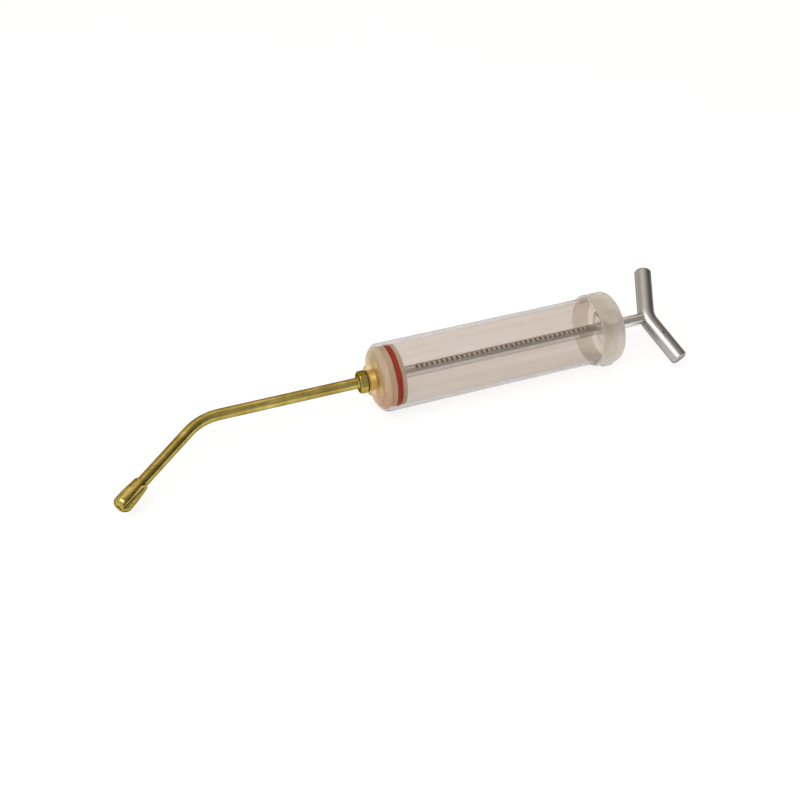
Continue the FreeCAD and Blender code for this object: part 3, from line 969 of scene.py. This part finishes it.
# %% The plunger rod
first_notch = 13.8
notch_shade_gain = 1.6
rod_shoulder_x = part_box("rod_washer")[1].x / MM
rack_start_x = rod_shoulder_x + first_notch
rack_mesh = repeated_mesh(notch, row_along_x, {
    "Count": rack_count, "Pitch": rack_pitch * MM, "Start": rack_start_x * MM,
    "Material": rack_steel})
bm = bmesh.new()
bm.from_mesh(rack_mesh)
rack_low_x = rack_start_x - rack_pitch / 2
rack_high_x = rack_start_x + (rack_count - 0.5) * rack_pitch
spigot_end = rounded([
    (rod_low.x, 0, 0), (rod_low.x, spigot_r, 0.2), (rod_shoulder_x, spigot_r, 0),
    (rod_shoulder_x, rod_r, 0.3), (rack_low_x, rod_r, 0)], step=0.1)
turned_mesh(bm, spigot_end, rod_segments, closed=False)
handle_end = rounded([
    (rack_high_x, rod_r, 0), (rod_high.x, rod_r, 0.3), (rod_high.x, 0, 0)], step=0.1)
turned_mesh(bm, handle_end, rod_segments, closed=False)
rod = finished("rack_rod", bm, rack_steel, sharp=30, merge=weld_distance)
# Painted shade, growing darker with the depth of each notch in the rack.
notch_painted_shade = rod.data.attributes.new("notch_painted_shade", "FLOAT", "POINT")
for vertex in rod.data.vertices:
    x, y, z = vertex.co / MM
    sunk = (rod_r - math.hypot(y, z)) / rack_depth
    in_rack = rack_low_x < x < rack_high_x
    notch_painted_shade.data[vertex.index].value = min(1, notch_shade_gain * sunk) if in_rack else 0
dressed(rod, "plunger", "plunger_rod")

# %% [markdown]
# The handle is one aluminium bar bent to a shallow V, with turned ends and a small dimple
# in one arm. The dimple is a dip in the radius, so the rings stand closer near it.

# %% The handle bar
handle_r = 6.6
handle_skin = 0.1
handle_arm = 42.6
handle_chamfer = 1.5
rod_in_handle = 2.0
handle_x = rod_high.x - rod_in_handle
sweep_turn = math.radians(37)
handle_bend_r = 18.0
dimple_at = 18.6
dimple_r = 0.8
dimple_depth = 0.6
dimple_shade_r = 1.0
dimple_shade_fade = 0.3
dimple_zone = (dimple_at - 1, dimple_at + 1)
far_end = unrolled(handle_arm, 0, sweep_turn, handle_bend_r)
lie_down = Matrix.Rotation(math.radians(-90), 3, "Z")
stand_up = Matrix.Rotation(math.radians(-90), 3, "Y") @ lie_down
half_back = Matrix.Rotation(sweep_turn / 2, 3, "Y")
handle_roll = Matrix.Rotation(math.radians(30.7), 3, "X")


def on_the_rod(spot):
    """Bend the bar, stand it up across the rod, and roll it to its resting angle."""
    bar_spot = bent(spot, 0, sweep_turn, handle_bend_r)
    turned_spot = handle_roll @ (stand_up @ (half_back @ bar_spot))
    return turned_spot + Vector((handle_x, 0, 0))


def handle_radius(x, r, angle):
    """Press the small dimple into the arm's side."""
    aside = handle_r * off_nearest(angle, 0, 2 * math.pi)
    away = math.hypot(x - dimple_at, aside) / dimple_r
    if r < handle_r - handle_skin or away >= 1:
        return r
    return r - dimple_depth * (1 - away ** 2) ** 0.5


bar_outline = rounded([
    (handle_arm, 0, 0), (handle_arm, handle_r - handle_chamfer, 0.6),
    (handle_arm - handle_chamfer, handle_r, 0.8), (dimple_zone[1], handle_r, 0),
    (dimple_zone[0], handle_r, 0), (far_end + handle_chamfer, handle_r, 0.8),
    (far_end, handle_r - handle_chamfer, 0.6), (far_end, 0, 0)], step=0.2)
bar_outline = divided(divided(bar_outline, 0.1, *dimple_zone), 1.5)
handle = turned("handle", bar_outline, satin_aluminium, segments=160,
                radius_at=handle_radius, place=on_the_rod, sharp=50)
dimple_spot = on_the_rod(Vector((dimple_at, handle_r, 0)))
# Painted shade in and round the dimple, fading out over a thin ring.
dimple_shade = handle.data.attributes.new("dimple_depth", "FLOAT", "POINT")
for vertex in handle.data.vertices:
    away = (vertex.co / MM - dimple_spot).length
    dimple_shade.data[vertex.index].value = limited((dimple_shade_r - away) / dimple_shade_fade)
dressed(handle, "plunger", "handle_bar")

# %% [markdown]
# The remaining pieces are small and mostly hidden behind clear plastic. The screw and the
# spring have solids that are already right, so they stay and only get the materials above.
# The washer behind the piston shows a little, so it is turned with soft edges like the
# rest, and a film of air keeps it clear of the rod's shoulder.

# %% Small pieces
back_low, back_high = box_in_mm("rod_washer")
washer_film = 0.02
back_face_x = back_high.x - washer_film
back_outline = rounded([
    (back_low.x, spigot_r, 0), (back_low.x, back_high.z, 0.3),
    (back_face_x, back_high.z, 0.3), (back_face_x, spigot_r, 0)], step=0.1)
back_washer = turned("back_washer", back_outline, drawn_steel, segments=96)
dressed(back_washer, "plunger", "rod_washer")


def recolour(node, material):
    """Give a node that stays its better material."""
    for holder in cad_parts[node].material_slots:
        holder.link = "OBJECT"
        holder.material = material
    print(node, "keeps its solid and gets", material.name)


recolour("piston_screw", polished_brass)
recolour("catch_spring", spring_wire)

# %% [markdown]
# The photograph was taken from the front left and above, with a fairly long lens. The
# camera's place was worked out from the barrel's outline and the tube, so the render can
# be laid over it. The camera looks along a line given by two angles and a distance.

# %% Camera
view_turn = math.radians(-20.88)
view_rise = math.radians(37.60)
view_distance = 957.5
aim_x = -85.4
aim_right = 12.5
aim_down = 17.0
back_way = Vector((math.sin(view_turn) * math.cos(view_rise),
                   -math.cos(view_turn) * math.cos(view_rise), math.sin(view_rise)))
right_way = Vector((math.cos(view_turn), math.sin(view_turn), 0))
up_way = back_way.cross(right_way)
aim = Vector((aim_x, 0, 0)) + aim_right * right_way - aim_down * up_way
camera_data = bpy.data.cameras.new("camera")
camera_data.sensor_width = 36.0
camera_data.lens = 57.735
camera_data.clip_start = 0.01
camera = bpy.data.objects.new("camera", camera_data)
turn = Matrix((right_way, up_way, back_way)).transposed().to_4x4()
camera.matrix_world = Matrix.Translation((aim + view_distance * back_way) * MM) @ turn
bpy.context.scene.collection.objects.link(camera)
bpy.context.scene.camera = camera
print("camera at", tuple(round(value, 3) for value in camera.location))

# %% [markdown]
# A pale floor in a studio: white paper that runs far back, a soft lamp high on the left
# and a weak warm one behind. Metal is only as good as what it mirrors, so the room is pale
# towards the nozzle, warm at the back and nearly dark towards the handle.

# %% Floor
WHITE = (1.0, 1.0, 1.0)
paper_light = (0.27, 0.27, 0.27)
paper_dark = (0.25, 0.25, 0.25)
paper_glow = 0.80


def floor_material():
    """White paper that glows a little, so that the shadows on it stay faint."""
    material = bpy.data.materials.new("white_paper")
    material.use_nodes = True
    tree = material.node_tree
    clouds = added(tree, "ShaderNodeGroup", {"Scale": 4.0}, node_tree=soft_clouds)
    feed(tree, tree.nodes["Principled BSDF"], {
        "Base Color": mixed(tree, clouds.outputs["Cloud"], paper_light, paper_dark),
        "Roughness": 0.9, "Specular IOR Level": 0.0,
        "Emission Strength": paper_glow, "Emission Color": (*WHITE, 1.0)})
    return material


floor_r = 4.0
floor_gap = 0.0002
floor_z = frame_bounds[0][2] - floor_gap
bm = bmesh.new()
bmesh.ops.create_circle(bm, cap_ends=True, segments=96, radius=floor_r)
floor_mesh = bpy.data.meshes.new("floor")
bm.to_mesh(floor_mesh)
bm.free()
floor_mesh.materials.append(floor_material())
floor = bpy.data.objects.new("floor", floor_mesh)
floor.location.z = floor_z
bpy.context.scene.collection.objects.link(floor)
print("floor at %.1f mm" % (floor_z / MM))

# %% Lamps
def soft_lamp(name, place, target, width, height, power, colour):
    """A rectangular lamp at place that faces target, in metres."""
    lamp_data = bpy.data.lights.new(name, "AREA")
    lamp_data.shape = "RECTANGLE"
    lamp_data.size = width
    lamp_data.size_y = height
    lamp_data.energy = power
    lamp_data.color = colour
    lamp = bpy.data.objects.new(name, lamp_data)
    lamp.location = place
    aim_way = Vector(target) - Vector(place)
    lamp.rotation_mode = "QUATERNION"
    lamp.rotation_quaternion = aim_way.to_track_quat("-Z", "Y")
    lamp.visible_camera = False
    bpy.context.scene.collection.objects.link(lamp)
    print(name, power, "W")


middle = (-0.05, 0.0, 0.0)
soft_lamp("key", place=(-0.90, -0.70, 1.30), target=middle, width=1.3, height=1.0,
          power=14.5, colour=(1.0, 0.97, 0.93))
soft_lamp("overhead", place=(0.25, 0.55, 1.50), target=middle, width=1.5, height=1.0,
          power=2.0, colour=(1.0, 0.88, 0.74))

# %% World
pale_wall = (0.90, 0.89, 0.88)
warm_wall = (0.72, 0.61, 0.47)
dark_corner = (0.10, 0.085, 0.06)


def studio_world():
    """A pale room that darkens towards the handle. The camera sees plain white instead,
    also through clear plastic, unless a mirror comes first."""
    world = bpy.data.worlds.new("studio")
    world.use_nodes = True
    tree = world.node_tree
    place = added(tree, "ShaderNodeTexCoord").outputs["Generated"]
    way = added(tree, "ShaderNodeSeparateXYZ", {0: place}).outputs
    to_handle = ramp(tree, way["X"], -0.35, 0.90)
    to_back = ramp(tree, way["Y"], 0.0, 0.6)
    to_front = ramp(tree, way["Y"], 0.55, 0.15)
    wall = mixed(tree, to_back, pale_wall, warm_wall)
    room = mixed(tree, maths(tree, "MULTIPLY", to_handle, to_front), wall, dark_corner)
    path = added(tree, "ShaderNodeLightPath").outputs
    no_mirror = maths(tree, "LESS_THAN", path["Glossy Depth"], 0.5)
    through = maths(tree, "MULTIPLY", no_mirror, path["Is Transmission Ray"])
    direct = maths(tree, "MAXIMUM", path["Is Camera Ray"], through)
    feed(tree, tree.nodes["Background"], {"Color": mixed(tree, direct, room, WHITE)})
    return world


bpy.context.scene.world = studio_world()
bpy.context.scene.view_settings.view_transform = "Standard"
print("world:", bpy.context.scene.world.name)

# %% [markdown]
# Last, the view layer is brought up to date.

# %% Finish
bpy.context.view_layer.update()
